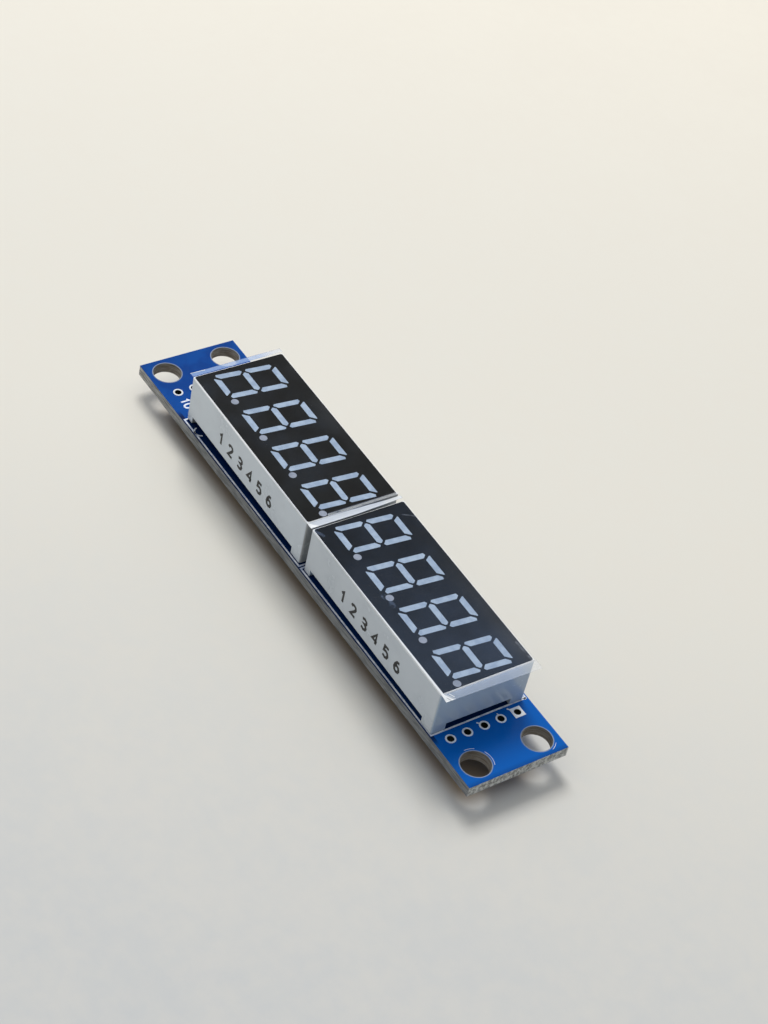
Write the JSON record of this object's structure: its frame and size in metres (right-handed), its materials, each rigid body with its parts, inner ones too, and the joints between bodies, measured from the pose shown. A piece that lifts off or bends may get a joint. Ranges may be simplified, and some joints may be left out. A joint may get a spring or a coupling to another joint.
{
  "type": "seven segment display module",
  "caption": "Slim circuit board module with two four-digit seven-segment LED displays end to end, header holes and mounting holes at both ends, and a driver chip underneath.",
  "frame": {"origin": "middle of the circuit board in plan, at the level that the module rests on, which is the flat top of the driver chip's package", "axes": "+X along the board in reading direction, +Y towards the tops of the digits, +Z out of the display faces"},
  "size_m": [0.082, 0.015, 0.0116],
  "materials": {
    "board": "glossy blue solder mask over glass laminate",
    "tinned_copper": "bright tinned copper",
    "housing": "satin grey-white moulding",
    "face_foil": "smooth black face",
    "segment_resin": "milky pale lavender resin",
    "point_resin": "milky grey resin",
    "light_chip": "bare light chip",
    "led_board": "plain laminate",
    "back_resin": "cast resin",
    "pin_metal": "tinned pin",
    "solder": "satin solder",
    "film": "clear protective film",
    "package": "fine matt black moulding",
    "lead_metal": "tinned lead frame",
    "resistor_body": "black glazed ceramic",
    "capacitor_ceramic": "tan ceramic",
    "capacitor_moulding": "ochre moulding"
  },
  "bodies": {
    "root": {"circuit_board": "board", "left_header_pads": "tinned_copper", "left_display_pads": "tinned_copper", "left_housing": "housing", "left_face_foil": "face_foil", "left_segment_lenses": "segment_resin", "left_point_lenses": "point_resin", "left_light_chips": "light_chip", "left_led_board": "led_board", "left_back_resin": "back_resin", "left_display_pins": "pin_metal", "left_pin_solder": "solder", "left_film": "film", "right_header_pads": "tinned_copper", "right_display_pads": "tinned_copper", "right_housing": "housing", "right_face_foil": "face_foil", "right_segment_lenses": "segment_resin", "right_point_lenses": "point_resin", "right_light_chips": "light_chip", "right_led_board": "led_board", "right_back_resin": "back_resin", "right_display_pins": "pin_metal", "right_pin_solder": "solder", "right_film": "film", "driver_chip": "package", "driver_leads": "lead_metal", "driver_solder": "solder", "resistor": "resistor_body", "resistor_caps": "tinned_copper", "small_capacitor": "capacitor_ceramic", "small_capacitor_caps": "tinned_copper", "bulk_capacitor": "capacitor_moulding", "bulk_capacitor_tabs": "tinned_copper", "small_part_solder": "solder"}
  },
  "joints": []
}
